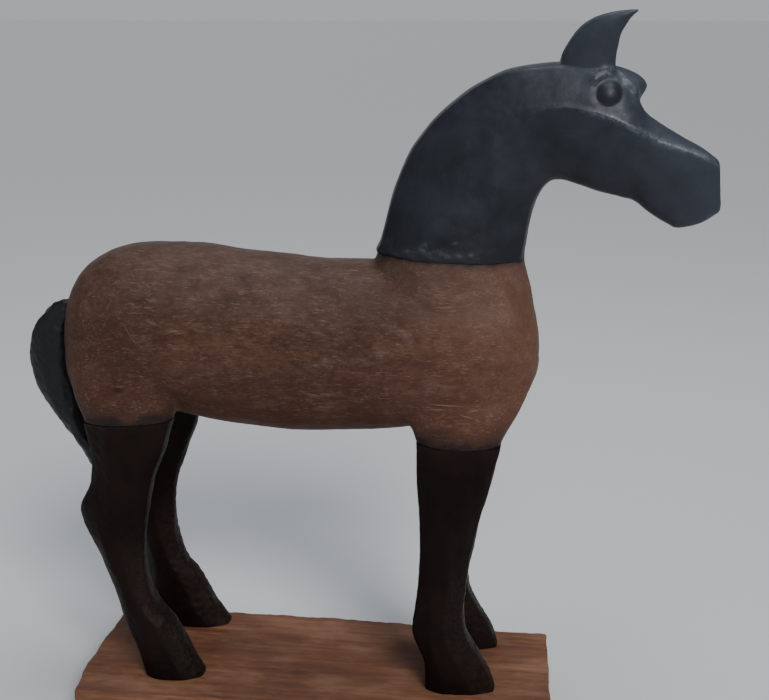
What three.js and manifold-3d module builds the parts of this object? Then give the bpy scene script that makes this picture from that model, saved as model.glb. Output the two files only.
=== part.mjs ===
// Carved wooden horse standing on a wooden plinth.
// Millimetres. +X towards the head, +Y to the horse's left, +Z up.
// The origin is the centre of the plinth's underside.
import * as THREE from 'three';
import { ParametricGeometry } from 'three/addons/geometries/ParametricGeometry.js';
import { mergeVertices } from 'three/addons/utils/BufferGeometryUtils.js';
import Module from 'manifold-3d';

const wasm = await Module();
wasm.setup();

// Driving dimensions.
const PLINTH_LENGTH = 308;
const PLINTH_WIDTH = 112;
const PLINTH_THICKNESS = 22;
const HORSE_SHIFT = 9;          // the horse stands this far behind the plinth's centre line
const GAP = 0.3;                // left between touching pieces
// Each joint's plane passes through x, z, rises by slope towards the head and is length long.
const FRONT_SEAM = { x: 95, z: 189.5, slope: 0, length: 76 };
const REAR_SEAM = { x: -150, z: 194, slope: 0.06, length: 128 };
const NECK_SEAM = { x: 80, z: 301.5, slope: -0.03, length: 500 };
const EYE_RADIUS = 6.4;
const EYE = { x: 170, y: 20.5, z: 398 };

// A carved form is described by sections between two edges seen from the side.
// Each row is [rear x, rear z, front x, front z, half width, centre y].
// For the trunk and head the "rear" edge is the upper one and the "front" edge the lower one.

const TRUNK_ROWS = [
  [-162, 249, -162, 234, 7, 0],
  [-160.5, 262, -160.5, 217, 16.5, 0],
  [-155.5, 276, -155.5, 205, 26, 0],
  [-146, 289, -145, 197.5, 34.5, 0],
  [-129, 299.5, -125, 194.5, 40.5, 0],
  [-107, 304, -99, 197, 43, 0],
  [-78, 303.5, -76, 192.5, 43, 0],
  [-40, 300, -40, 187.5, 42.5, 0],
  [0, 296.5, 0, 186.5, 42, 0],
  [38, 295.5, 36, 189, 42, 0],
  [74, 296, 68, 194, 42, 0],
  [102, 295, 92, 196, 40.5, 0],
  [122, 287, 115, 203, 35, 0],
  [133, 270, 129, 213, 26, 0],
  [137.5, 250, 136.5, 229, 13, 0],
];

const NECK_AND_HEAD_ROWS = [
  [22, 238, 138, 234, 40, 0],
  [30, 266, 135.5, 258, 37.5, 0],
  [35.5, 287, 131, 281, 33, 0],
  [37.5, 301, 126.8, 299, 30, 0],
  [41.5, 316, 127.5, 312, 27.5, 0],
  [46.5, 337, 130, 327, 25.5, 0],
  [56, 361, 134, 339, 24, 0],
  [69, 379.5, 140, 346.5, 23.2, 0],
  [88, 396.5, 147, 347.5, 22.8, 0],
  [111, 409.5, 156, 345, 22.8, 0],
  [136, 414, 168, 341, 23.2, 0],
  [159, 413.5, 181, 338, 23.6, 0],
  [174, 409, 189, 336, 22.8, 0],
  [185, 398.5, 196, 330.5, 21, 0],
  [193, 387, 202, 326.5, 19.2, 0],
  [202.5, 380, 208.5, 323, 18, 0],
  [214, 373.5, 214.5, 320.5, 17, 0],
  [226, 366.5, 226, 323.5, 16, 0],
  [234.5, 361, 237.5, 331, 14.5, 0],
];
const FACE_ROW = 13;             // from here forward a section is widest near its upper edge

const FORELEG_ROWS = [
  [46, 232, 135, 232, 14, 24],
  [55, 210, 126.3, 210, 14.3, 25.5],
  [64.8, 189, 116.5, 190, 14.2, 27],
  [65.5, 163, 111, 163, 13.6, 27.5],
  [67, 139, 105, 139, 12.8, 27.5],
  [68, 116, 100, 116, 12, 27.5],
  [67, 95, 97.5, 95, 11.6, 27.5],
  [65, 79, 96, 79, 11.8, 27.5],
  [63.5, 63, 97, 65, 12.4, 27.5],
  [67, 51, 101.5, 54, 12.4, 27.5],
  [71, 41, 107, 45, 12.6, 27.5],
  [72, 31, 113, 34, 13, 27.5],
  [72.5, 22, 117, 22, 13, 27.5],
];

const HIND_LEG_ROWS = [
  [-153, 232, -82, 232, 14, 26.5],
  [-151.5, 211, -84, 213, 14.2, 27.5],
  [-145.5, 194, -87.5, 197.5, 13.8, 28.5],
  [-142, 172, -95, 176, 13.4, 29.5],
  [-143.5, 153, -101.3, 158, 12.8, 30.5],
  [-151.5, 138, -106.5, 137, 12.2, 31.2],
  [-149, 126, -109, 120, 11.8, 31.8],
  [-140.8, 109, -109.5, 99, 11.6, 32.4],
  [-134.3, 92, -107, 82, 11.8, 33],
  [-128.4, 74, -101, 69, 12.2, 33.5],
  [-123.3, 56, -92, 59, 12.6, 34],
  [-117.8, 42, -84.5, 45, 12.6, 34],
  [-113.5, 30, -79.5, 33, 12.8, 34],
  [-112, 22, -74, 22, 12.8, 34],
];

// How much further forward the left hind leg's rear and front edges are, row by row.
// It is carved fuller in front at the thigh and fuller behind at the fetlock and hoof.
const LEFT_HIND_LEG = [
  [0, 0], [0, 0], [0, 1.4], [0, 5], [0, 4.3], [0, 1], [0, 0], [-1.2, 0],
  [-3.2, 0], [-6.1, -1.5], [-8.7, -2.8], [-11.6, -3], [-9, -1.8], [-6.5, 0],
];

const TAIL_ROWS = [
  [-165.5, 265.5, -157, 264, 8, 0],
  [-171, 262.5, -156, 257, 10, 0],
  [-178.5, 256.5, -157.5, 247, 11.5, 0],
  [-186, 245, -159, 235, 12, 0],
  [-189.5, 231, -159.5, 220, 12, 0],
  [-188.5, 215, -158.5, 204, 11.5, 0],
  [-182.5, 200, -156, 190, 10.5, 0],
  [-172.5, 184, -152, 175, 9, 0],
  [-162.5, 168, -146, 161, 7.5, 0],
  [-154, 152, -142, 147, 5.5, 0],
  [-147, 140, -141, 138, 2.5, 0],
];

const EAR_ROWS = [
  [142, 402, 174, 402, 5.4, 8.2],
  [143.5, 416.5, 173.8, 416.5, 5.2, 8.8],
  [147.5, 425.5, 174.8, 424.5, 4.9, 9.6],
  [154, 434, 175.8, 430.5, 4.2, 10.4],
  [163, 439.5, 178.2, 435, 3.3, 11],
  [173, 442.3, 181, 439.3, 2.2, 11.4],
  [184, 443.5, 185.2, 442.7, 0.7, 11.6],
];

const FORELOCK_ROWS = [
  [160, 408, 163, 396, 8, 0],
  [169, 412.5, 172, 395, 11, 0],
  [177, 412, 181, 393, 12, 0],
  [185, 409, 188, 393, 11.5, 0],
  [190, 405.5, 189.5, 395.5, 10, 0],
  [192.5, 402, 190.5, 397.5, 7, 0],
];

// The plinth's plan outline, slightly out of square: [x, y] going round from the front left corner.
const PLINTH_OUTLINE = [
  [-0.495, -0.495], [0.5, -0.49], [0.497, -0.25], [0.492, 0.48],
  [0.4, 0.465], [0.12, 0.49], [0.01, 0.5], [-0.12, 0.5], [-0.5, 0.485], [-0.508, -0.18],
];

function solidFrom(geometry) {
  // A manifold solid from a closed three.js geometry.
  const bare = geometry.clone();
  bare.deleteAttribute('normal');
  bare.deleteAttribute('uv');
  const merged = mergeVertices(bare, 1e-4);
  const index = merged.getIndex().array;
  const kept = [];
  for (let i = 0; i < index.length; i += 3) {
    const [a, b, c] = [index[i], index[i + 1], index[i + 2]];
    if (a !== b && b !== c && c !== a) kept.push(a, b, c);
  }
  return new wasm.Manifold(new wasm.Mesh({
    numProp: 3,
    vertProperties: new Float32Array(merged.getAttribute('position').array),
    triVerts: new Uint32Array(kept),
  }));
}

function geometryFrom(solid) {
  // A three.js geometry from a manifold solid.
  const mesh = solid.getMesh();
  const geometry = new THREE.BufferGeometry();
  geometry.setAttribute('position', new THREE.BufferAttribute(new Float32Array(mesh.vertProperties), 3));
  geometry.setIndex(Array.from(mesh.triVerts));
  geometry.computeVertexNormals();
  return geometry;
}

function carvedForm(rows, {
  around, between, upper = () => 2.4, lower = () => 2.4, peak = () => 0, side = 1,
}) {
  // A closed form through the rows' sections, each a superellipse spanning its two edge points.
  // upper and lower are the squareness of its two halves: 2 is an ellipse, 4 nearly a rectangle.
  // peak moves the widest place of a section from its middle (0) towards an edge (-1 or 1).
  const column = (i, j) => new THREE.SplineCurve(rows.map((r) => new THREE.Vector2(r[i], r[j])));
  const rear = column(0, 1);
  const front = column(2, 3);
  const width = column(4, 5);
  const rings = (rows.length - 1) * between + 1;
  const place = (u, v, target) => {
    const row = Math.round(v * (rings + 1)) - 1;
    const t = THREE.MathUtils.clamp(row / (rings - 1), 0, 1);
    const [a, b, w] = [rear.getPoint(t), front.getPoint(t), width.getPoint(t)];
    const onCap = row < 0 || row >= rings;
    const angle = (Math.round(u * around) % around) * 2 * Math.PI / around;
    const [c, s] = [Math.cos(angle), Math.sin(angle)];
    const at = t * (rows.length - 1);
    const m = peak(at);
    const power = 2 / (c >= 0 ? upper(at) : lower(at));
    const along = m - (c >= 0 ? 1 + m : m - 1) * Math.abs(c) ** power;
    const across = Math.sign(s) * Math.abs(s) ** power;
    const k = (1 + (onCap ? 0 : along)) / 2;
    target.set(
      a.x + (b.x - a.x) * k,
      side * (w.y + (onCap ? 0 : across * w.x)),
      a.y + (b.y - a.y) * k,
    );
  };
  const geometry = new ParametricGeometry(place, around, rings + 1);
  const solid = solidFrom(geometry);
  if (solid.volume() > 0) return solid;
  const index = geometry.getIndex().array;
  for (let i = 0; i < index.length; i += 3) [index[i], index[i + 1]] = [index[i + 1], index[i]];
  return solidFrom(geometry);
}

function halfSpace(seam, up, gap) {
  // A saw block lying above or below a joint's plane, moved along z by gap.
  const box = new THREE.BoxGeometry(seam.length, 200, 300);
  box.translate(0, 0, up ? 150 : -150);
  box.rotateY(-Math.atan(seam.slope));
  box.translate(seam.x, 0, seam.z + gap);
  return solidFrom(box);
}

function wood(color, roughness) {
  return new THREE.MeshStandardMaterial({ color, roughness, metalness: 0 });
}

function mesh(name, solid, material) {
  const result = new THREE.Mesh(geometryFrom(solid), material);
  result.name = name;
  return result;
}

function makePlinth() {
  // One rough board with its upper and lower edges slightly worn.
  const wear = 1.6;
  const outline = new THREE.Shape(PLINTH_OUTLINE.map(([x, y]) => new THREE.Vector2(
    x * (PLINTH_LENGTH - 2 * wear),
    y * (PLINTH_WIDTH - 2 * wear),
  )));
  const board = new THREE.ExtrudeGeometry(outline, {
    depth: PLINTH_THICKNESS - 2 * wear,
    bevelThickness: wear,
    bevelSize: wear,
    bevelSegments: 2,
    steps: 1,
  });
  board.translate(0, 0, wear);
  return mesh('plinth', solidFrom(board), wood('#6e4a3c', 0.75));
}

function barrel(grow = 0) {
  // The trunk's barrel, squarer below where the legs spring from it.
  const { smoothstep } = THREE.MathUtils;
  const belly = (row) => smoothstep(row, 4.5, 7) * (1 - smoothstep(row, 8.5, 10.5));
  const rows = TRUNK_ROWS.map(([ax, az, bx, bz, w, y]) => [ax - grow, az, bx - grow, bz, w + grow, y]);
  return carvedForm(rows, {
    around: 32,
    between: 2,
    upper: () => 2.3,
    lower: (row) => 3 - 0.5 * belly(row),
  });
}

const foreleg = (side) => carvedForm(FORELEG_ROWS, { around: 18, between: 2, side });

function hindLeg(side) {
  // The left leg differs from the right one by the steps in LEFT_HIND_LEG.
  const rows = HIND_LEG_ROWS.map(([ax, az, bx, bz, w, y], row) => {
    const [rear, front] = side > 0 ? LEFT_HIND_LEG[row] : [0, 0];
    return [ax + rear, az, bx + front, bz, w, y];
  });
  return carvedForm(rows, { around: 18, between: 2, side });
}

function neckAndHead() {
  // The neck widens into the shoulders; the face is flat on top with long slanting cheeks.
  const face = (row) => THREE.MathUtils.smoothstep(row, FACE_ROW - 5, FACE_ROW + 4);
  const brow = (row) => Math.exp(-(((row - FACE_ROW + 1.5) / 2) ** 2));
  return carvedForm(NECK_AND_HEAD_ROWS, {
    around: 28,
    between: 2,
    upper: (row) => 2.3 + 1.1 * face(row) + 0.9 * brow(row),
    lower: () => 2.5,
    peak: (row) => -0.45 * face(row),
  });
}

function makeTrunk() {
  // The barrel with the stumps of the four legs and of the neck, sawn flat at each joint.
  let trunk = barrel();
  for (const side of [-1, 1]) {
    trunk = trunk.add(foreleg(side).intersect(halfSpace(FRONT_SEAM, true, 0)));
    trunk = trunk.add(hindLeg(side).intersect(halfSpace(REAR_SEAM, true, 0)));
  }
  trunk = trunk.add(neckAndHead().intersect(halfSpace(NECK_SEAM, false, 0)));
  trunk = trunk.subtract(halfSpace(FRONT_SEAM, false, GAP / 2));
  trunk = trunk.subtract(halfSpace(REAR_SEAM, false, GAP / 2));
  trunk = trunk.subtract(halfSpace(NECK_SEAM, true, -GAP / 2));
  return mesh('trunk', trunk, wood('#5c463a', 0.6));
}

function makeHead() {
  // Neck and head in one piece with the ears, the forelock and the domed eyes.
  let head = neckAndHead();
  for (const side of [-1, 1]) {
    const eye = new THREE.SphereGeometry(EYE_RADIUS, 16, 12);
    eye.scale(1, 0.6, 1);
    eye.translate(EYE.x, side * EYE.y, EYE.z);
    head = head.add(solidFrom(eye));
    head = head.add(carvedForm(EAR_ROWS, { around: 12, between: 2, side }));
  }
  head = head.add(carvedForm(FORELOCK_ROWS, { around: 12, between: 2 }));
  head = head.intersect(halfSpace(NECK_SEAM, true, GAP / 2));
  return mesh('head_and_neck', head, wood('#22272d', 0.42));
}

function makeLeg(name, whole, seam) {
  // One leg with its hoof, from the flat joint under the trunk to the plinth.
  const floor = { x: 0, z: PLINTH_THICKNESS, slope: 0, length: 600 };
  const leg = whole.intersect(halfSpace(seam, false, -GAP / 2)).intersect(halfSpace(floor, true, GAP));
  return mesh(name, leg, wood('#1c1513', 0.5));
}

function makeTail() {
  // The tail butts on the rump, which it follows down to the hocks.
  const tail = carvedForm(TAIL_ROWS, { around: 14, between: 2 }).subtract(barrel(GAP));
  return mesh('tail', tail, wood('#181310', 0.5));
}

const object = new THREE.Group();
const horse = new THREE.Group();
horse.position.y = HORSE_SHIFT;
horse.add(makeTrunk());
horse.add(makeHead());
horse.add(makeLeg('front_right_leg', foreleg(-1), FRONT_SEAM));
horse.add(makeLeg('front_left_leg', foreleg(1), FRONT_SEAM));
horse.add(makeLeg('rear_right_leg', hindLeg(-1), REAR_SEAM));
horse.add(makeLeg('rear_left_leg', hindLeg(1), REAR_SEAM));
horse.add(makeTail());
object.add(makePlinth());
object.add(horse);

export default object;
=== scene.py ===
# A carved wooden horse on a plinth: brown trunk, black neck and head, legs and tail.
# Sizes are in millimetres until a surface becomes a mesh, which is in metres.
import math

import bpy
import numpy as np
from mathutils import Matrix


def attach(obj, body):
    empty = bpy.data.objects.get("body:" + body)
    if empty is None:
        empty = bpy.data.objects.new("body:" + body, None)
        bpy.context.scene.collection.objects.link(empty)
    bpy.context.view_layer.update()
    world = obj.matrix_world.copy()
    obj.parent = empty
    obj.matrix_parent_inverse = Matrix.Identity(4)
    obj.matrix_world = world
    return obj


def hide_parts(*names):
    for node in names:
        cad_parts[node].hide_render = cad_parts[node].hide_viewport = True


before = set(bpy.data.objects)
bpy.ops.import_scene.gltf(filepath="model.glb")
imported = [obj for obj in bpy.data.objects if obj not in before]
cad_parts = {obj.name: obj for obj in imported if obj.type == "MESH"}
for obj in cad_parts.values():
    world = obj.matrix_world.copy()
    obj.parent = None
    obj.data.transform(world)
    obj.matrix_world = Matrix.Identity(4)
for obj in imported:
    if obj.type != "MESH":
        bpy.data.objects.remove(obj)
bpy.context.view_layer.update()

# ---------------------------------------------------------------- view, floor and light
# The eye stands a little ahead of the horse's middle, on its right side, looking slightly down.
# A far soft lamp lights the horse from ahead and above, on a plain pale floor in a pale room.

camera = bpy.data.objects.new("camera", bpy.data.cameras.new("camera"))
camera.data.lens = 53.84
camera.data.sensor_width = 36
camera.location = (0.1282, -0.676, 0.442)
camera.rotation_euler = (math.radians(90 - 16.4), 0, math.radians(7.2))
bpy.context.collection.objects.link(camera)
bpy.context.scene.camera = camera


def lamp(name, kind, place, aim, width, power, tint):
    """A soft box or a far soft lamp at place, turned to shine on aim. width is the box's side in metres,
    or the far lamp's spread in radians."""
    light = bpy.data.lights.new(name, kind)
    if kind == "SUN":
        light.angle = width
    else:
        light.size = width
    light.energy = power
    light.color = tint
    made = bpy.data.objects.new(name, light)
    made.location = place
    away = np.array(place) - np.array(aim)
    flat = math.hypot(away[0], away[1])
    made.rotation_euler = (math.atan2(flat, away[2]), 0, math.atan2(away[0], -away[1]))
    bpy.context.collection.objects.link(made)


lamp("key_light", "SUN", (0.6, -1.05, 1.2), (0, 0, 0.25), 0.45, 2.2, (1, 0.985, 0.96))
lamp("fill_light", "AREA", (-1.3, -1.1, 0.9), (0, 0, 0.25), 1.4, 3, (0.92, 0.96, 1))
lamp("top_light", "AREA", (0.25, 0.1, 1.4), (0.08, 0, 0.3), 0.7, 7, (0.93, 0.97, 1))
lamp("back_light", "SUN", (-0.5, 1.2, 0.5), (0, 0, 0.25), 0.9, 0.32, (0.93, 0.97, 1))


def add(tree, kind, inputs=(), stops=(), out=0, **settings):
    """Adds one node and gives back one of its outputs. settings are its properties, inputs its sockets'
    values or the outputs that feed them, by place or by name, and stops a ramp's places and colours."""
    made = tree.nodes.new("ShaderNode" + kind)
    for key, value in settings.items():
        setattr(made, key, value)
    for key, value in inputs.items() if isinstance(inputs, dict) else enumerate(inputs):
        if isinstance(value, bpy.types.NodeSocket):
            tree.links.new(value, made.inputs[key])
        else:
            made.inputs[key].default_value = value
    for n, (place, colour) in enumerate(stops):
        ramp = made.color_ramp
        stop = ramp.elements[n] if n < 2 else ramp.elements.new(place)
        stop.position = place
        stop.color = colour
    return made.outputs[out] if len(made.outputs) else None


# The room looks lighter than it shines on the horse: a lit wall behind, a shaded room in front.
world = bpy.data.worlds.new("pale_room")
world.use_nodes = True
room = world.node_tree
room.nodes.clear()
shining = add(room, "Background", [(0.72, 0.76, 0.82, 1), 0.2])
seen = add(room, "Background", [(0.44, 0.46, 0.48, 1), 1.0])
add(room, "OutputWorld", [add(room, "MixShader", [add(room, "LightPath"), shining, seen])])
bpy.context.scene.world = world

floor_mesh = bpy.data.meshes.new("floor")
floor_mesh.from_pydata([(-60, -60, 0), (60, -60, 0), (60, 60, 0), (-60, 60, 0)], [], [(0, 1, 2, 3)])
floor_material = bpy.data.materials.new("pale_floor")
floor_material.use_nodes = True
floor_material.node_tree.nodes["Principled BSDF"].inputs["Base Color"].default_value = (0.68, 0.7, 0.72, 1)
floor_material.node_tree.nodes["Principled BSDF"].inputs["Roughness"].default_value = 0.8
floor_mesh.materials.append(floor_material)
floor = bpy.data.objects.new("floor", floor_mesh)
bpy.context.collection.objects.link(floor)

# ---------------------------------------------------------------- plinth
# One rough-sawn board of pinkish brown wood, a little out of square, with knocked edges.
# The horse's hooves are glued on its top, nearer its back edge.

PLINTH = dict(length=308.0, width=112.0, thick=22.0)
# The board's corners and the small bends in its sides, as shares of its length and width.
PLINTH_OUTLINE = np.array([
    [-0.495, -0.495], [0.5, -0.49], [0.497, -0.25], [0.492, 0.48],
    [0.4, 0.465], [0.12, 0.49], [0.01, 0.5], [-0.12, 0.5], [-0.5, 0.485], [-0.508, -0.18],
])


def ripple(points, wavelength, seed, waves=24):
    """Smooth random unevenness between about -1 and 1: a sum of plane waves of about that length, in
    millimetres, in random directions."""
    rng = np.random.default_rng(seed)
    heading = rng.normal(size=(waves, 3))
    heading /= np.linalg.norm(heading, axis=1, keepdims=True)
    pace = 2 * np.pi / (wavelength * rng.uniform(0.7, 1.5, waves))
    phase = rng.uniform(0, 2 * np.pi, waves)
    total = np.zeros(len(points))
    for way, step, start in zip(heading, pace, phase):
        total += np.sin(points @ way * step + start)
    return total / math.sqrt(waves)


def closed_grid(rings, first, last):
    """Vertices and faces of a closed surface: rings[i, j] joined in both directions, and capped at both
    ends by a fan to the points first and last. Faces are turned so that the volume comes out positive."""
    steps, around = rings.shape[:2]
    points = np.vstack([rings.reshape(-1, 3), first, last])
    i, j = np.meshgrid(np.arange(steps - 1), np.arange(around), indexing="ij")
    k = (j + 1) % around
    quads = np.stack([i * around + j, (i + 1) * around + j, (i + 1) * around + k, i * around + k], -1)
    quads = quads.reshape(-1, 4)
    j = np.arange(around)
    k = (j + 1) % around
    end = (steps - 1) * around
    fans = np.vstack([
        np.stack([np.full(around, steps * around), j, k], -1),
        np.stack([np.full(around, steps * around + 1), end + k, end + j], -1),
    ])
    a, b, c, d = (points[quads[:, n]] for n in range(4))
    volume = np.einsum("ij,ij->", a, np.cross(b, c)) + np.einsum("ij,ij->", a, np.cross(c, d))
    if volume < 0:
        quads, fans = quads[:, ::-1], fans[:, ::-1]
    return points, quads.tolist() + fans.tolist()


def linear(code):
    """sRGB hex to linear light."""
    parts = [int(code[n:n + 2], 16) / 255 for n in (1, 3, 5)]
    return tuple(v / 12.92 if v <= 0.04045 else ((v + 0.055) / 1.055) ** 2.4 for v in parts) + (1.0,)


def new_material(name):
    """An empty material with its tree, and a socket of places in millimetres."""
    material = bpy.data.materials.new(name)
    material.use_nodes = True
    tree = material.node_tree
    tree.nodes.clear()
    place = add(tree, "TexCoord", out="Object")
    return material, tree, add(tree, "VectorMath", {0: place, "Scale": 1000.0}, operation="SCALE")


SHARP_EDGE = 50  # degrees between two faces, from which their edge is drawn crisp


def make_piece(name, points, faces, material, replaces, attributes=None):
    """The piece as a mesh object at the origin, in metres, riding on the one body. attributes holds a value
    for each point, which its material reads by name."""
    mesh = bpy.data.meshes.new(name)
    mesh.from_pydata((np.asarray(points) / 1000).tolist(), [], faces)
    mesh.update()
    mesh.polygons.foreach_set("use_smooth", np.ones(len(mesh.polygons), bool))
    mesh.set_sharp_from_angle(angle=math.radians(SHARP_EDGE))
    for key, values in (attributes or {}).items():
        layer = mesh.attributes.new(key, "FLOAT", "POINT")
        layer.data.foreach_set("value", np.asarray(values, np.float32))
    mesh.materials.append(material)
    piece = bpy.data.objects.new(name, mesh)
    bpy.context.collection.objects.link(piece)
    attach(piece, "root")
    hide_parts(replaces)


def plinth_surface(around=720):
    """The outline is walked at even steps; the edge profile goes from the middle of the underside out,
    round the worn lower edge, up the side, round the worn upper edge and in to the middle of the top."""
    corners = PLINTH_OUTLINE * [PLINTH["length"], PLINTH["width"]]
    nexts = np.roll(corners, -1, axis=0)
    lengths = np.linalg.norm(nexts - corners, axis=1)
    reach = np.concatenate([[0], np.cumsum(lengths)])
    walk = np.linspace(0, reach[-1], around, endpoint=False)
    loop = np.vstack([corners, corners[:1]])
    outline = np.stack([np.interp(walk, reach, loop[:, n]) for n in (0, 1)], -1)
    inward = -outline / np.linalg.norm(outline, axis=1, keepdims=True)
    edge = np.column_stack([outline, np.zeros(around)])
    outline = outline + inward * (0.35 + 0.35 * ripple(edge, 34, 3))[:, None]
    rows = []
    thick = PLINTH["thick"]
    sunk = 0.25  # how far hand sanding has taken the top down
    for share in (0.5, 0.85, 0.97):
        rows.append(np.column_stack([outline * share, np.zeros(around)]))
    for z, seed, up in ((0.0, 5, 1), (thick, 6, -1)):
        wear = np.clip(1.1 + 0.8 * ripple(edge, 21, seed) + 0.5 * ripple(edge, 6, seed + 20), 0.35, 3.2)
        bends = np.linspace(0, np.pi / 2, 6) if up == 1 else np.linspace(np.pi / 2, 0, 6)
        for bend in bends:
            inset = wear * (1 - np.sin(bend))
            drop = wear * (1 - np.cos(bend))
            rows.append(np.column_stack([outline + inward * inset[:, None], z + up * drop]))
        if up == 1:
            for z_side in np.linspace(4, thick - 4, 8):
                rows.append(np.column_stack([outline, np.full(around, z_side)]))
    for share in np.linspace(0.985, 0.02, 54):
        rows.append(np.column_stack([outline * share, np.full(around, thick)]))
    rings = np.stack(rows)
    flat = rings.reshape(-1, 3)
    lift = 0.22 * ripple(flat, 26, 8) + 0.12 * ripple(flat, 7, 9)
    edge_zone = 1.5
    side = (flat[:, 2] > edge_zone) & (flat[:, 2] < thick - edge_zone)
    flat[:, 2] += np.where(flat[:, 2] > thick - edge_zone, lift - sunk, 0)
    flat[:, :2] *= 1 + np.where(side, 0.0016 * ripple(flat * [1, 1, 3], 9, 10), 0)[:, None]
    return closed_grid(rings, [0, 0, 0], [0, 0, thick - sunk])


def sawn_hardwood():
    """Sawn hardwood, sanded once by hand: pinkish brown, with paler streaks along the board and a dull,
    slightly open surface. Its streaks are 3.4 mm wide and its fibres 0.7 mm."""
    material, tree, place = new_material("sawn_hardwood")
    grain = {}
    for name, stretch, detail, rough in (
        ("broad", (70, 26, 26), 5, 0.6), ("worn", (30, 15, 15), 5, 0.65),
        ("streak", (75, 3.4, 3.4), 5, 0.6), ("fibre", (12, 0.7, 0.7), 3, 0.6),
    ):
        local = add(tree, "VectorMath", [place, tuple(1 / v for v in stretch)], operation="MULTIPLY")
        grain[name] = add(tree, "TexNoise", {
            "Vector": local, "Scale": 1, "Detail": detail, "Roughness": rough,
        })
    tone = add(tree, "Math", [grain["streak"], 0.45], operation="MULTIPLY")
    tone = add(tree, "Math", [grain["broad"], 0.55, tone], operation="MULTIPLY_ADD")
    colour = add(tree, "ValToRGB", [tone], stops=[
        (0.36, linear("#542f1f")), (0.64, linear("#8a6049")), (0.5, linear("#70462f")),
    ])
    pale = add(tree, "MapRange", [grain["worn"], 0.5, 0.68, 0, 0.4])
    colour = add(tree, "Mix", {"Factor": pale, "A": colour, "B": linear("#946c57")}, out=2, data_type="RGBA")
    fine = add(tree, "MapRange", [grain["fibre"], 0.3, 0.7, 0.86, 1.1])
    colour = add(tree, "VectorMath", [colour, fine], operation="MULTIPLY")
    rough = add(tree, "MapRange", [grain["streak"], 0.3, 0.7, 0.58, 0.8])
    bump = add(tree, "Bump", {"Height": grain["streak"], "Strength": 0.5, "Distance": 0.0006})
    bump = add(tree, "Bump", {"Height": grain["fibre"], "Strength": 0.35, "Distance": 0.0003, "Normal": bump})
    shader = add(tree, "BsdfPrincipled", {"Base Color": colour, "Roughness": rough, "Normal": bump})
    add(tree, "OutputMaterial", [shader])
    return material


points, faces = plinth_surface()
make_piece("plinth_board", points, faces, sawn_hardwood(), "plinth")

# ---------------------------------------------------------------- trunk
# Brown close-grained wood, its grain running from rump to chest, carved smooth and rubbed dusty.
# It has a short stump for each leg and for the neck, each sawn flat where the next piece is joined.

HORSE_SHIFT = 9.0  # how far the horse stands towards the board's back edge
GAP = 0.3  # left open at each joint
# Each joint's plane: its middle x and z, its rise per millimetre forward, and how long the saw block is.
FRONT_SEAM = dict(x=95, z=189.5, slope=0.0, length=76)
REAR_SEAM = dict(x=-150, z=194, slope=0.06, length=128)
NECK_SEAM = dict(x=80, z=301.5, slope=-0.03, length=500)

# Each row: rear x, rear z, front x, front z, half width, centre y. On the trunk the rear edge is its top.
TRUNK_ROWS = [
    [-162, 249, -162, 234, 7, 0],
    [-160.5, 262, -160.5, 217, 16.5, 0],
    [-155.5, 276, -155.5, 205, 26, 0],
    [-146, 289, -145, 197.5, 34.5, 0],
    [-129, 299.5, -125, 194.5, 40.5, 0],
    [-107, 304, -99, 197, 43, 0],
    [-78, 303.5, -76, 192.5, 43, 0],
    [-40, 300, -40, 187.5, 42.5, 0],
    [0, 296.5, 0, 186.5, 42, 0],
    [38, 295.5, 36, 189, 42, 0],
    [74, 296, 68, 194, 42, 0],
    [102, 295, 92, 196, 40.5, 0],
    [122, 287, 115, 203, 35, 0],
    [133, 270, 129, 213, 26, 0],
    [137.5, 250, 136.5, 229, 13, 0],
]
NECK_AND_HEAD_ROWS = [
    [22, 238, 138, 234, 40, 0],
    [30, 266, 135.5, 258, 37.5, 0],
    [35.5, 287, 131, 281, 33, 0],
    [37.5, 301, 126.8, 299, 30, 0],
    [41.5, 316, 127.5, 312, 27.5, 0],
    [46.5, 337, 130, 327, 25.5, 0],
    [56, 361, 134, 339, 24, 0],
    [69, 379.5, 140, 346.5, 23.2, 0],
    [88, 396.5, 147, 347.5, 22.8, 0],
    [111, 409.5, 156, 345, 22.8, 0],
    [136, 414, 168, 341, 23.2, 0],
    [159, 413.5, 181, 338, 23.6, 0],
    [174, 409, 189, 336, 22.8, 0],
    [185, 398.5, 196, 330.5, 21, 0],
    [193, 387, 202, 326.5, 19.2, 0],
    [202.5, 380, 208.5, 323, 18, 0],
    [214, 373.5, 214.5, 320.5, 17, 0],
    [226, 366.5, 226, 323.5, 16, 0],
    [234.5, 361, 237.5, 331, 14.5, 0],
]
FORELEG_ROWS = [
    [46, 232, 135.5, 232, 12, 18],
    [55, 210, 127, 210, 14.3, 25],
    [64.8, 189.5, 116.5, 189.5, 14.2, 27],
    [65.5, 163, 111, 163, 13.6, 27.5],
    [67, 139, 105, 139, 12.8, 27.5],
    [68, 116, 100, 116, 12, 27.5],
    [67, 95, 97.5, 95, 11.6, 27.5],
    [65, 79, 96, 79, 11.8, 27.5],
    [63.5, 63, 97, 65, 12.4, 27.5],
    [67, 51, 101.5, 54, 12.4, 27.5],
    [71, 41, 107, 45, 12.6, 27.5],
    [72, 31, 113, 34, 13, 27.5],
    [72.5, 22.1, 117, 22.1, 13, 27.5],
]
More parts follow.
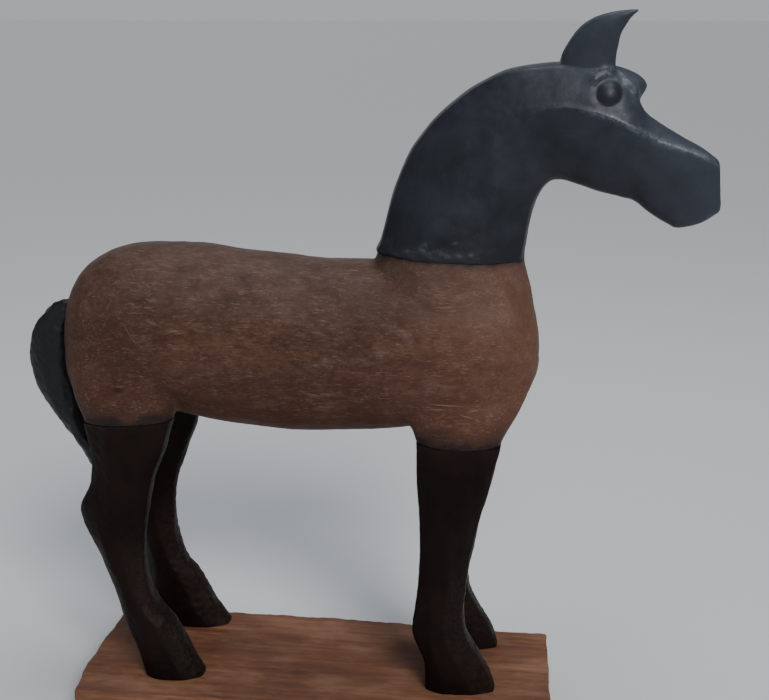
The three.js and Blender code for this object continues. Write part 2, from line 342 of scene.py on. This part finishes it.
HIND_LEG_ROWS = [
    [-153, 232, -82, 232, 14, 26.5],
    [-151.5, 211, -84, 213, 14.2, 27.5],
    [-145.5, 194, -87.5, 197.7, 13.8, 28.5],
    [-142, 172, -95, 176, 13.4, 29.5],
    [-143.5, 153, -101.3, 158, 12.8, 30.5],
    [-151.5, 138, -106.5, 137, 12.2, 31.2],
    [-149, 126, -109, 120, 11.8, 31.8],
    [-140.8, 109, -109.5, 99, 11.6, 32.4],
    [-134.3, 92, -107, 82, 11.8, 33],
    [-128.4, 74, -101, 69, 12.2, 33.5],
    [-123.3, 56, -92, 59, 12.6, 34],
    [-117.8, 42, -84.5, 45, 12.6, 34],
    [-113.5, 30, -79.5, 33, 12.8, 34],
    [-112, 22.1, -74, 22.1, 12.8, 34],
]
# How much further forward the left hind leg's rear and front edges are, row by row.
LEFT_HIND_LEG = [
    [0, 0], [0, 0], [0, 1.4], [0, 5], [0, 4.3], [0, 1], [0, 0], [-1.2, 0],
    [-3.2, 0], [-6.1, -1.5], [-8.7, -2.8], [-11.6, -3], [-9, -1.8], [-6.5, 0],
]
# Each section is a rounded eight-cornered outline: half width of its flat top, height of its upper
# corner, height and half width of its lower corner, half width of its flat bottom.
# Heights go from -1 at the rear or top edge to 1 at the front or bottom edge, widths from 0 to 1.
ROUND_SECTION = [0.42, -0.42, 0.42, 1.0, 0.42]


def hind_leg_rows(side):
    """The rows of a hind leg: the left one is fuller in front at the thigh and behind at the hoof."""
    rows = np.array(HIND_LEG_ROWS, float)
    if side > 0:
        rows[:, [0, 2]] += LEFT_HIND_LEG
    return rows


def between_rows(rows, t):
    """The smooth curve through the rows, read at t from 0 to 1: cubic between each two rows, its slope at a
    row half the chord of the rows on either side."""
    rows = np.asarray(rows, float)
    at = t * (len(rows) - 1)
    n = np.minimum(at.astype(int), len(rows) - 2)
    f = (at - n)[:, None]
    p0, p1, p2, p3 = (rows[np.clip(n + k, 0, len(rows) - 1)] for k in (-1, 0, 1, 2))
    v1, v2 = (p2 - p0) / 2, (p3 - p1) / 2
    return p1 + v1 * f + (3 * (p2 - p1) - 2 * v1 - v2) * f ** 2 + (2 * (p1 - p2) + v1 + v2) * f ** 3


def carved_form(rows, sections, along, around, side=1, crisp=0.0):
    """A closed form. At each step along the rows, eight corners of the section are placed between the two
    edge points, and a quadratic B-spline rounds them; its widest place is scaled to the row's half width.
    crisp mixes the spline with the straight lines from corner to corner, as a knife leaves them."""
    t = np.linspace(0, 1, along)
    rear_x, rear_z, front_x, front_z, half, centre = between_rows(rows, t).T
    top, upper, lower, cheek, bottom = between_rows(sections, t).T
    one = np.ones(along)
    heights = np.stack([-one, upper, lower, one], 1)
    widths = np.stack([top, one, cheek, bottom], 1)
    heights = np.concatenate([heights, heights[:, ::-1]], 1)
    widths = np.concatenate([widths, -widths[:, ::-1]], 1)
    turn = np.arange(around) / around * 8 - 0.5
    n = np.floor(turn).astype(int)
    f = turn - n
    straight = [np.maximum(0.5 - f, 0), 0.5 + np.minimum(f, 1 - f), np.maximum(f - 0.5, 0)]
    spline = [0.5 * (1 - f) ** 2, 0.5 + f * (1 - f), 0.5 * f ** 2]
    weights = [(1 - crisp) * a + crisp * b for a, b in zip(spline, straight)]
    across = sum(w * heights[:, (n + k - 1) % 8] for k, w in enumerate(weights))
    out = sum(w * widths[:, (n + k - 1) % 8] for k, w in enumerate(weights))
    out /= np.abs(out).max(axis=1, keepdims=True)
    share = (1 + across) / 2
    rings = np.stack([
        rear_x[:, None] + (front_x - rear_x)[:, None] * share,
        side * (centre[:, None] + out * half[:, None]),
        rear_z[:, None] + (front_z - rear_z)[:, None] * share,
    ], -1)
    ends = [[(rear_x[n] + front_x[n]) / 2, side * centre[n], (rear_z[n] + front_z[n]) / 2] for n in (0, -1)]
    return closed_grid(rings, *ends)


def finished(parts, cuts, voxel, rounds):
    """The parts grown into one skin by remeshing at voxel, softened by rounds of smoothing as by sandpaper,
    then sawn by the cuts. Each part and cut is vertices and faces; vertices and faces come back."""
    points, faces = [], []
    for part_points, part_faces in parts:
        start = len(points)
        points += np.asarray(part_points).tolist()
        faces += [[start + n for n in face] for face in part_faces]
    mesh = bpy.data.meshes.new("rough")
    mesh.from_pydata(points, [], faces)
    rough = bpy.data.objects.new("rough", mesh)
    bpy.context.collection.objects.link(rough)
    skin = rough.modifiers.new("skin", "REMESH")
    skin.mode = "VOXEL"
    skin.voxel_size = voxel
    sand = rough.modifiers.new("sand", "SMOOTH")
    sand.factor = 0.5
    sand.iterations = rounds
    saws = []
    for cut_points, cut_faces in cuts:
        block_mesh = bpy.data.meshes.new("saw")
        block_mesh.from_pydata(np.asarray(cut_points).tolist(), [], cut_faces)
        block = bpy.data.objects.new("saw", block_mesh)
        bpy.context.collection.objects.link(block)
        saw = rough.modifiers.new("saw", "BOOLEAN")
        saw.operation = "DIFFERENCE"
        saw.solver = "EXACT"
        saw.object = block
        saws.append(block)
    shaped = bpy.data.meshes.new_from_object(rough.evaluated_get(bpy.context.evaluated_depsgraph_get()))
    points = np.empty(len(shaped.vertices) * 3)
    shaped.vertices.foreach_get("co", points)
    faces = [list(face.vertices) for face in shaped.polygons]
    for made in [rough, *saws]:
        data = made.data
        bpy.data.objects.remove(made)
        bpy.data.meshes.remove(data)
    bpy.data.meshes.remove(shaped)
    return points.reshape(-1, 3), faces


def saw_block(seam, up, gap):
    """A box whose face lies on the seam's plane, raised by gap, and whose body is above it or below it.
    It is wider and taller than what it cuts away."""
    half, wide, tall = seam["length"] / 2, 100, 300 if up else -300
    face = np.array([[-half, -wide, 0], [half, -wide, 0], [half, wide, 0], [-half, wide, 0]], float)
    box = np.vstack([face, face + [0, 0, tall]])
    box[:, 2] += box[:, 0] * seam["slope"]
    box += [seam["x"], 0, seam["z"] + gap]
    faces = [[0, 3, 2, 1], [4, 5, 6, 7], [0, 1, 5, 4], [1, 2, 6, 5], [2, 3, 7, 6], [3, 0, 4, 7]]
    return box, faces if up else [face[::-1] for face in faces]


def normals_of(points, faces):
    """Each vertex's normal: the sum of its faces' areas times their directions, at unit length."""
    flat = np.array([[f[0], f[n], f[n + 1]] for f in faces for n in range(1, len(f) - 1)])
    a, b, c = (points[flat[:, n]] for n in range(3))
    weight = np.cross(b - a, c - a)
    total = np.zeros_like(points)
    for n in range(3):
        np.add.at(total, flat[:, n], weight)
    return total / np.maximum(np.linalg.norm(total, axis=1, keepdims=True), 1e-9)


def above(points, seam):
    """Height of each point over a seam's plane."""
    return points[:, 2] - seam["z"] - (points[:, 0] - seam["x"]) * seam["slope"]


round_sections = [ROUND_SECTION] * 2
# Along the trunk the belly is flatter than the back.
barrel_sections = [
    [0.42, -0.42, 0.50, 1.0, 0.50], [0.42, -0.42, 0.58, 1.0, 0.58], [0.42, -0.42, 0.46, 1.0, 0.46],
    [0.42, -0.42, 0.46, 1.0, 0.46], [0.42, -0.42, 0.58, 1.0, 0.55], [0.42, -0.42, 0.50, 1.0, 0.50],
]
trunk_parts = [carved_form(TRUNK_ROWS, barrel_sections, along=150, around=120)]
for side in (-1, 1):
    trunk_parts.append(carved_form(FORELEG_ROWS[:4], round_sections, 60, 80, side))
    trunk_parts.append(carved_form(hind_leg_rows(side)[:4], round_sections, 60, 80, side))
trunk_parts.append(carved_form(NECK_AND_HEAD_ROWS[:6], round_sections, along=60, around=120))
trunk_cuts = [
    saw_block(FRONT_SEAM, up=False, gap=GAP / 2),
    saw_block(REAR_SEAM, up=False, gap=GAP / 2),
    saw_block(NECK_SEAM, up=True, gap=-GAP / 2),
]
points, faces = finished(trunk_parts, trunk_cuts, voxel=1.35, rounds=26)


def nudge(points, faces, relief, fixed):
    """Moves each point along its normal by relief, and leaves those where fixed is 1 in place."""
    return points + normals_of(points, faces) * (relief * (1 - fixed))[:, None]


# The skin keeps its place where the saw left it, and black paint and dirt haze the wood at each joint.
FAR_FROM_JOINT = 99.0
over_legs = np.full(len(points), FAR_FROM_JOINT)
for seam in (FRONT_SEAM, REAR_SEAM):
    near = np.abs(points[:, 0] - seam["x"]) < seam["length"] / 2
    over_legs = np.where(near, above(points, seam), over_legs)
under_neck = -above(points, NECK_SEAM)
sawn = np.clip(1 - np.minimum(over_legs, under_neck) / 2.5, 0, 1)
points = nudge(points, faces, 0.35 * ripple(points, 42, 11) + 0.1 * ripple(points, 11, 12), sawn)
haze = 1.7 * np.exp(-np.maximum(over_legs, 0) / 4.8 + 0.45 * ripple(points, 14, 13))
haze += 1.2 * np.exp(-np.maximum(under_neck, 0) / 1.5 + 0.4 * ripple(points, 9, 14))


def rubbed_hardwood():
    """Fine hardwood, stained brown and rubbed: mottled, with short pale dashes where dust fills the open
    pores along the grain, greyer on the back with dust and painted light from above, paler on the chest as
    painted light, darker and redder below as painted shade, and smudged black at joints.
    Its fibres are 1.2 mm wide and its pores 0.8 mm, coarser than the real ones so that they show."""
    material, tree, place = new_material("rubbed_brown_hardwood")
    grain = {}
    for name, stretch, detail, rough in (
        ("broad", (52, 26, 26), 5, 0.6), ("cloud", (17, 8, 8), 6, 0.74), ("blot", (4.5, 2.4, 2.4), 4, 0.65),
        ("fibre", (26, 1.2, 1.2), 4, 0.6), ("pores", (7.5, 0.8, 0.8), 2, 0.5),
        ("flecks", (2.6, 0.7, 0.7), 3, 0.6), ("clump", (13, 7, 7), 4, 0.7), ("patch", (27, 13, 13), 7, 0.75),
    ):
        local = add(tree, "VectorMath", [place, tuple(1 / v for v in stretch)], operation="MULTIPLY")
        grain[name] = add(tree, "TexNoise", {
            "Vector": local, "Scale": 1, "Detail": detail, "Roughness": rough,
        })
    tone = add(tree, "Math", [grain["cloud"], 0.4], operation="MULTIPLY")
    tone = add(tree, "Math", [grain["broad"], 0.35, tone], operation="MULTIPLY_ADD")
    tone = add(tree, "Math", [grain["blot"], 0.25, tone], operation="MULTIPLY_ADD")
    colour = add(tree, "ValToRGB", [tone], stops=[
        (0.36, linear("#2a150c")), (0.64, linear("#5f4132")), (0.5, linear("#422619")),
    ])
    lines = add(tree, "MapRange", [grain["fibre"], 0.3, 0.7, 0.84, 1.14])
    colour = add(tree, "VectorMath", [colour, lines], operation="MULTIPLY")
    ahead = add(tree, "SeparateXYZ", [place], out="X")
    up = add(tree, "SeparateXYZ", [place], out="Z")
    dust_and_top_light = add(tree, "MapRange", [grain["cloud"], 0.35, 0.65, 0.2, 0.65])
    worn = add(tree, "MapRange", [ahead, -80, 100, 0.15, 0.5])
    many_pores = add(tree, "MapRange", [grain["clump"], 0.46, 0.6, 0.04, 0.34])
    many_flecks = add(tree, "MapRange", [grain["clump"], 0.41, 0.57, 0.12, 0.4])
    # Each layer goes over the last: what is measured, where its share starts and ends, and its colour.
    layers = []
    for measure, start, end, share, over in (
        # Painted light: the chest is paler, as lit from ahead.
        (ahead, 35, 128, 0.5, "#765040"),
        # Dust, and painted light from above: the back is greyer.
        (up, 255, 300, dust_and_top_light, "#54463f"),
        # Painted shade: darker and redder below.
        (up, 252, 198, 0.42, "#482213"),
        (grain["patch"], 0.52, 0.68, 0.5, "#382117"),
        (grain["patch"], 0.47, 0.33, worn, "#775c50"),
        (grain["pores"], 0.57, 0.7, many_pores, "#94796a"),
        (grain["flecks"], 0.54, 0.7, many_flecks, "#846b5d"),
    ):
        layers.append((add(tree, "MapRange", [measure, start, end, 0, share]), over))
    # Scratches: how pale, middle, tilt in degrees, and half length, depth and half width.
    for share, centre, tilt, size in (
        (0.45, (83, -31, 217), 2, (12, 25, 0.5)), (0.4, (78, -31, 213.8), -3, (7, 25, 0.4)),
        (0.35, (96, -31, 210.5), 12, (5, 25, 0.4)), (0.35, (100, -31, 214), -14, (4, 25, 0.35)),
        (0.13, (-107.5, -30, 255), 58, (11, 25, 0.6)), (0.1, (-101, -30, 248), 52, (7, 25, 0.5)),
    ):
        local = add(tree, "Mapping", {
            "Vector": place, "Location": centre, "Rotation": (0, math.radians(tilt), 0), "Scale": size,
        }, vector_type="TEXTURE")
        reach = add(tree, "VectorMath", [local], out="Value", operation="LENGTH")
        layers.append((add(tree, "MapRange", [reach, 1.0, 0.5, 0, share]), "#9b8170"))
    # One small dark knot on the right haunch.
    knot = add(tree, "Mapping", {
        "Vector": place, "Location": (-118, -33, 219), "Scale": (4.2, 20, 2.2),
    }, vector_type="TEXTURE")
    reach = add(tree, "VectorMath", [knot], out="Value", operation="LENGTH")
    layers.append((add(tree, "MapRange", [reach, 1.15, 0.35, 0, 0.85]), "#1d0f0a"))
    smudge = add(tree, "MapRange", [grain["blot"], 0.3, 0.7, 0.75, 1.0])
    haze_here = add(tree, "Attribute", out="Fac", attribute_name="haze")
    layers.append((add(tree, "MapRange", [haze_here, 0, 1, 0, smudge]), "#120b0a"))
    for share, over in layers:
        colour = add(tree, "Mix", {"Factor": share, "A": colour, "B": linear(over)}, out=2, data_type="RGBA")
    rough = add(tree, "MapRange", [grain["cloud"], 0.3, 0.7, 0.52, 0.68])
    bump = add(tree, "Bump", {"Height": grain["fibre"], "Strength": 0.3, "Distance": 0.0004})
    bump = add(tree, "Bump", {"Height": grain["blot"], "Strength": 0.25, "Distance": 0.0004, "Normal": bump})
    shader = add(tree, "BsdfPrincipled", {
        "Base Color": colour, "Roughness": rough, "Specular IOR Level": 0.3, "Normal": bump,
    })
    add(tree, "OutputMaterial", [shader])
    return material


shift = np.array([0, HORSE_SHIFT, 0])
make_piece(
    "trunk_carving", points + shift, faces, rubbed_hardwood(), "trunk",
    attributes={"haze": np.clip(haze, 0, 1)},
)

# ---------------------------------------------------------------- neck and head
# One wooden carving with both ears, the forelock and the domed eyes, coated blue-black.
# It is glued on the trunk's stump, with a bead and a few lumps of filler over the joint.

# The ears and the forelock, in rows like the trunk's.
EAR_ROWS = [
    [142, 402, 174, 402, 5.4, 8.2],
    [143.5, 416.5, 173.8, 416.5, 5.2, 8.8],
    [147.5, 425.5, 174.8, 424.5, 4.9, 9.6],
    [154, 434, 175.8, 430.5, 4.2, 10.4],
    [163, 439.5, 178.2, 435, 3.3, 11],
    [173, 442.3, 181, 439.3, 2.2, 11.4],
    [184, 443.5, 185.2, 442.7, 0.7, 11.6],
]
FORELOCK_ROWS = [
    [160, 408, 163, 396, 8, 0],
    [169, 412.5, 172, 395, 11, 0],
    [177, 412, 181, 393, 12, 0],
    [185, 409, 188, 393, 11.5, 0],
    [190, 405.5, 189.5, 395.5, 10, 0],
    [192.5, 402, 190.5, 397.5, 7, 0],
]
# The neck is round; the head gets a narrower forehead, flat cheeks and a square muzzle.
neck_sections = [ROUND_SECTION] * 8 + [
    [0.46, -0.42, 0.40, 0.98, 0.42],
    [0.50, -0.38, 0.40, 0.95, 0.42],
    [0.56, -0.34, 0.40, 0.92, 0.42],
    [0.60, -0.32, 0.42, 0.90, 0.42],
    [0.62, -0.30, 0.44, 0.88, 0.42],
    [0.58, -0.38, 0.46, 0.86, 0.44],
    [0.52, -0.50, 0.48, 0.85, 0.46],
    [0.48, -0.62, 0.50, 0.85, 0.50],
    [0.50, -0.74, 0.52, 0.86, 0.52],
    [0.56, -0.86, 0.56, 0.88, 0.56],
    [0.60, -0.90, 0.60, 0.88, 0.60],
]
head_parts = [
    carved_form(NECK_AND_HEAD_ROWS, neck_sections, 320, 200, crisp=0.45),
    carved_form(FORELOCK_ROWS, round_sections, 50, 60),
]
for side in (-1, 1):
    head_parts.append(carved_form(EAR_ROWS, round_sections, 90, 60, side, crisp=0.3))
points, faces = finished(head_parts, [saw_block(NECK_SEAM, up=False, gap=GAP / 2)], voxel=0.8, rounds=7)

# The carved lines of the head, as x and z in the horse's own plane; both sides have them.
EYE = dict(x=170.5, z=398.5, radius=7.2)
CHEEK_BONE = [
    [119, 372], [122, 380], [128, 386], [137, 389], [146, 390.5], [153, 389.5], [160, 388], [167, 386.5],
    [177, 383], [187, 378], [193, 375.5], [200, 372], [209, 369], [218, 366], [231, 363],
]
HOLLOW_OF_CHEEK = [[116, 352], [119, 364], [126, 375], [137, 380], [150, 380], [163, 377]]
HOLLOW_OF_THROAT = [[130, 362], [126, 348], [121, 332]]
THROAT_EDGE = [[136, 346], [131, 339], [127.5, 330], [126, 316], [124.5, 304]]
FRONT_OF_NECK = [[107, 368], [111, 344], [112, 327], [111, 308]]
BROW = [[162, 406], [168, 409.5], [174, 409], [179, 406], [184, 401.5], [187, 395]]
# Lumps of filler over the joint: x, z and size.
FILLER = [
    [57.5, 307, 1.5], [67, 308.5, 1.6], [68.6, 311.5, 1.1],
    [88, 305, 1.5], [86, 312.5, 0.9], [95, 305.7, 1.1],
]


def off_line(points, line):
    """Distance of each point from a line of x, z corners, seen from the side, and its share of the way
    along: the point is dropped square on each stretch of the line, and the nearest one counts."""
    line = np.asarray(line, float)
    spot = points[:, None, [0, 2]]
    run = np.diff(line, axis=0)
    share = np.clip(((spot - line[:-1]) * run).sum(-1) / (run ** 2).sum(-1), 0, 1)
    gaps = np.linalg.norm(spot - line[:-1] - share[..., None] * run, axis=-1)
    nearest = gaps.argmin(axis=1)
    every = np.arange(len(points))
    return gaps[every, nearest], (nearest + share[every, nearest]) / len(run)


def swell(gap, width):
    """A rounded ridge: 1 on its line, falling smoothly to 0 beyond width."""
    return np.exp(-(gap / width) ** 2)


def eased(points, faces, where, rounds):
    """Softens the skin by where, a share from 0 to 1 for each point: round by round each point moves half
    of that share of the way to the mean of its neighbours."""
    pairs = np.array([pair for face in faces for pair in zip(face, face[1:] + face[:1])])
    count = np.bincount(pairs[:, 0], minlength=len(points))[:, None]
    for _ in range(rounds):
        ends = points[pairs[:, 1]]
        mean = np.column_stack([
            np.bincount(pairs[:, 0], weights=ends[:, axis], minlength=len(points)) for axis in range(3)
        ]) / np.maximum(count, 1)
        points = points + (mean - points) * (0.5 * where)[:, None]
    return points


# The forelock's sides are blended into the brow.
lock = np.hypot(points[:, 0] - 183, points[:, 2] - 399)
lock_sides = swell(lock, 9) * np.clip((np.abs(points[:, 1]) - 5) / 4, 0, 1)
points = eased(points, faces, lock_sides, rounds=70)

# Cheek bone, throat, hollows, brow and eye are worked on the parts of the skin that face sideways.
normals = normals_of(points, faces)
sideways = np.clip(np.abs(normals[:, 1]) * 1.8 - 0.35, 0, 1)
bone_gap, bone_share = off_line(points, CHEEK_BONE)
brow_gap = off_line(points, BROW)[0]
bone_ends = np.clip(bone_share / 0.25, 0, 1) * np.clip((1 - bone_share) / 0.06, 0, 1)
eye_gap = np.hypot(points[:, 0] - EYE["x"], points[:, 2] - EYE["z"])
relief = 0.9 * swell(bone_gap, 1.8) * bone_ends
relief += 0.7 * swell(off_line(points, THROAT_EDGE)[0], 1.5)
relief -= 1.3 * swell(off_line(points, HOLLOW_OF_CHEEK)[0], 8)
relief -= 1.0 * swell(off_line(points, HOLLOW_OF_THROAT)[0], 8)
relief += 0.8 * swell(off_line(points, FRONT_OF_NECK)[0], 6)
relief += 1.5 * swell(brow_gap, 2.6)
relief += 1.9 * np.clip(1 - (eye_gap / EYE["radius"]) ** 2, 0, 1) ** 1.3
relief -= 0.5 * swell(eye_gap - EYE["radius"], 2.2)
relief *= sideways

# The bead of filler goes round the neck's rear half, and the lumps lie a little over it.
over_seam = above(points, NECK_SEAM)
collar = np.clip((98 - points[:, 0]) / 15, 0, 1)
relief += collar * (0.5 + 0.3 * ripple(points, 9, 31)) * swell(over_seam - 1.8, 2.6)
relief += 1.0 * np.clip((62 - points[:, 0]) / 20, 0, 1) * np.exp(-np.maximum(over_seam, 0) / 8)
specks = np.zeros(len(points))
for x, z, size in FILLER:
    specks += swell(np.hypot((points[:, 0] - x) / 1.7, points[:, 2] - z), size)
relief += 0.4 * specks * sideways
relief += 0.14 * ripple(points, 21, 32) + 0.035 * ripple(points, 5, 33)
sawn = np.clip(1 - over_seam / 0.8, 0, 1)
points = nudge(points, faces, relief, sawn)

# Painted highlights, partly real rubbing: the bone, the brow and the filler are painted paler where hands rub
# them and light catches them.
wear_and_painted_highlight = 1.2 * swell(bone_gap, 1.7) * np.clip((bone_share - 0.35) / 0.15, 0, 1) + 0.7 * swell(brow_gap, 3)
wear_and_painted_highlight = wear_and_painted_highlight * sideways + 0.4 * specks
wear_and_painted_highlight += 0.22 * collar * swell(over_seam - 5, 5) * np.clip(0.4 + 0.6 * ripple(points, 12, 34), 0, 1)
# Painted light: the top and front of the head are greyer, as lit by the bright room; the neck is darker
# towards the joint.
pale = np.clip((points[:, 0] + 1.3 * (points[:, 2] - 400) - 110) / 90, 0, 1)
pale -= 0.6 * np.clip((332 - points[:, 2]) / 32, 0, 1)
# Painted shade: the eye's disc is darker, as shade in its groove.
pale -= 0.55 * sideways / (1 + np.exp((eye_gap - EYE["radius"] - 0.5) / 1.1))
# Painted light: the muzzle is greyer still.
pale += 0.4 * np.clip((points[:, 0] - 180) / 35, 0, 1)


def black_coat(name, dark, light, rub_and_highlight, sheen, shine, tint):
    """Thick black paint on carved wood, brushed and hand polished: nearly black and satin, its skin lumpy
    at 5 mm and gritty at 1.7 mm, and paler where hands rub it and where highlights are painted. Its pale
    share makes it lighter or darker, which on the head is painted light and shade."""
    material, tree, place = new_material(name)
    skin = {}
    for part, size, detail, rough in (
        ("cloud", 24, 5, 0.6), ("grit", 1.7, 4, 0.65), ("lumps", 5, 3, 0.55),
    ):
        local = add(tree, "VectorMath", [place, (1 / size,) * 3], operation="MULTIPLY")
        skin[part] = add(tree, "TexNoise", {
            "Vector": local, "Scale": 1, "Detail": detail, "Roughness": rough,
        })
    # The pale share: on the head it is painted light and shade, on the legs thin paint near the joint.
    shade = add(tree, "Attribute", out="Fac", attribute_name="pale")
    tone = add(tree, "Math", [shade, 0.45, skin["cloud"]], operation="MULTIPLY_ADD")
    colour = add(tree, "ValToRGB", [tone], stops=[(0.35, linear(dark)), (1.0, linear(light))])
    # Paler by the rub colour: partly rubbing, partly painted highlight.
    worn = add(tree, "Attribute", out="Fac", attribute_name="wear_and_painted_highlight")
    worn = add(tree, "MapRange", [skin["grit"], 0.35, 0.65, 0, worn])
    colour = add(tree, "Mix", {"Factor": worn, "A": colour, "B": linear(rub_and_highlight)}, out=2, data_type="RGBA")
    rough = add(tree, "MapRange", [skin["lumps"], 0.3, 0.7, sheen, sheen + 0.14])
    rough = add(tree, "Math", [worn, -0.16, rough], operation="MULTIPLY_ADD")
    bump = add(tree, "Bump", {"Height": skin["lumps"], "Strength": 0.14, "Distance": 0.0006})
    bump = add(tree, "Bump", {"Height": skin["grit"], "Strength": 0.3, "Distance": 0.0004, "Normal": bump})
    shader = add(tree, "BsdfPrincipled", {
        "Base Color": colour, "Roughness": rough, "Specular IOR Level": shine,
        "Specular Tint": linear(tint), "Normal": bump,
    })
    add(tree, "OutputMaterial", [shader])
    return material


head_coat = black_coat("blue_black_paint", "#101318", "#2f343e", "#5a5f67", 0.4, 0.42, "#f2f4ff")
make_piece(
    "head_carving", points + shift, faces, head_coat, "head_and_neck",
    attributes={"wear_and_painted_highlight": np.clip(wear_and_painted_highlight, 0, 1), "pale": pale},
)

# ---------------------------------------------------------------- legs
# Four wooden legs, each one piece with its hoof, cut with a knife in long facets, coated brown-black.
# The flat top end of each is glued under the trunk's stump, and its sole on the board.

# Sections from the joint down to the sole: a ridge on the outer side between two long knife facets.
foreleg_sections = [
    [0.50, -0.42, 0.42, 1.0, 0.50],
    [0.52, -0.30, 0.34, 1.0, 0.46],
    [0.54, -0.20, 0.28, 0.98, 0.42],
    [0.56, -0.16, 0.24, 0.98, 0.42],
    [0.56, -0.20, 0.24, 0.98, 0.44],
    [0.60, -0.40, 0.20, 0.96, 0.46],
    [0.62, -0.48, 0.25, 0.94, 0.42],
    [0.66, -0.50, 0.35, 0.92, 0.46],
]
hind_leg_sections = [
    [0.46, -0.42, 0.42, 1.0, 0.46],
    [0.44, -0.30, 0.46, 0.98, 0.42],
    [0.34, -0.34, 0.36, 1.0, 0.42],
    [0.36, -0.40, 0.26, 0.98, 0.44],
    [0.46, -0.34, 0.30, 0.96, 0.46],
    [0.54, -0.30, 0.40, 0.96, 0.44],
    [0.60, -0.40, 0.36, 0.95, 0.42],
    [0.66, -0.50, 0.40, 0.94, 0.46],
]
# Down the front of each lower leg the paint has dried in small beads, and it is thin near the joint. The
# faces turned forward there are painted paler as a painted highlight.
leg_coat = black_coat("brown_black_paint", "#0b0504", "#1e110d", "#302724", 0.46, 0.14, "#ffeee6")
for seed, name, rows, sections, seam, side, crisp in (
    (41, "front_right_leg", FORELEG_ROWS, foreleg_sections, FRONT_SEAM, -1, 0.6),
    (42, "front_left_leg", FORELEG_ROWS, foreleg_sections, FRONT_SEAM, 1, 0.6),
    (43, "rear_right_leg", hind_leg_rows(-1), hind_leg_sections, REAR_SEAM, -1, 0.4),
    (44, "rear_left_leg", hind_leg_rows(1), hind_leg_sections, REAR_SEAM, 1, 0.4),
):
    points, faces = carved_form(rows[2:], sections, 260, 110, side, crisp)
    below = -above(points, seam)
    edges = np.clip(1 - np.minimum(below, points[:, 2] - PLINTH["thick"]) / 2, 0, 1)
    facing = normals_of(points, faces)[:, 0]
    # Painted highlight: lower-leg faces turned forward get the rub colour, as well as the beads' bumps.
    beads_and_painted_highlight = np.clip(facing * 1.6 - 0.2, 0, 1) * np.clip((120 - points[:, 2]) / 20, 0, 1)
    relief = 0.34 * ripple(points * [1, 1, 0.35], 12, seed) + 0.09 * ripple(points, 6, seed + 10)
    relief += 0.1 * beads_and_painted_highlight * ripple(points, 4, seed + 20)
    points = nudge(points, faces, relief, edges)
    thin = np.exp(-below / (5 + 1.5 * ripple(points, 12, seed + 30)))
    make_piece(
        name + "_carving", points + shift, faces, leg_coat, name,
        attributes={"wear_and_painted_highlight": np.clip(beads_and_painted_highlight * 0.6 + thin * 0.2, 0, 1), "pale": np.clip(thin, 0, 1) * 0.5},
    )

# ---------------------------------------------------------------- tail
# One curved, knife-cut piece of wood, coated grey-black.
# It is glued on the rump, and its front edge runs on a little inside the trunk, out of sight.

TAIL_ROWS = [
    [-165.5, 265.5, -157, 264, 8, 0],
    [-171, 262.5, -156, 257, 10, 0],
    [-178.5, 256.5, -157.5, 247, 11.5, 0],
    [-186, 245, -159, 235, 12, 0],
    [-189.5, 231, -159.5, 220, 12, 0],
    [-188.5, 215, -158.5, 204, 11.5, 0],
    [-182.5, 200, -156, 190, 10.5, 0],
    [-172.5, 184, -152, 175, 9, 0],
    [-162.5, 168, -146, 161, 7.5, 0],
    [-154, 152, -142, 147, 5.5, 0],
    [-147, 140, -141, 138, 2.5, 0],
]
tail_sections = [
    [0.5, -0.3, 0.42, 1.0, 0.42], [0.6, -0.3, 0.42, 1.0, 0.42], [0.5, -0.3, 0.42, 1.0, 0.42],
]
tail_coat = black_coat("grey_black_paint", "#0c0c0e", "#1c1c20", "#2b2c31", 0.42, 0.33, "#ffffff")
points, faces = carved_form(TAIL_ROWS, tail_sections, 220, 90, crisp=0.5)
relief = 0.4 * ripple(points * [1, 1, 0.6], 10, 51) + 0.15 * ripple(points, 5, 52)
points = nudge(points, faces, relief, np.zeros(len(points)))
# Painted light: the faces turned rearward are painted paler.
rearward = np.clip(-normals_of(points, faces)[:, 0], 0, 1)
make_piece(
    "tail_carving", points + shift, faces, tail_coat, "tail",
    attributes={"wear_and_painted_highlight": rearward * 0.3, "pale": np.zeros(len(points))},
)
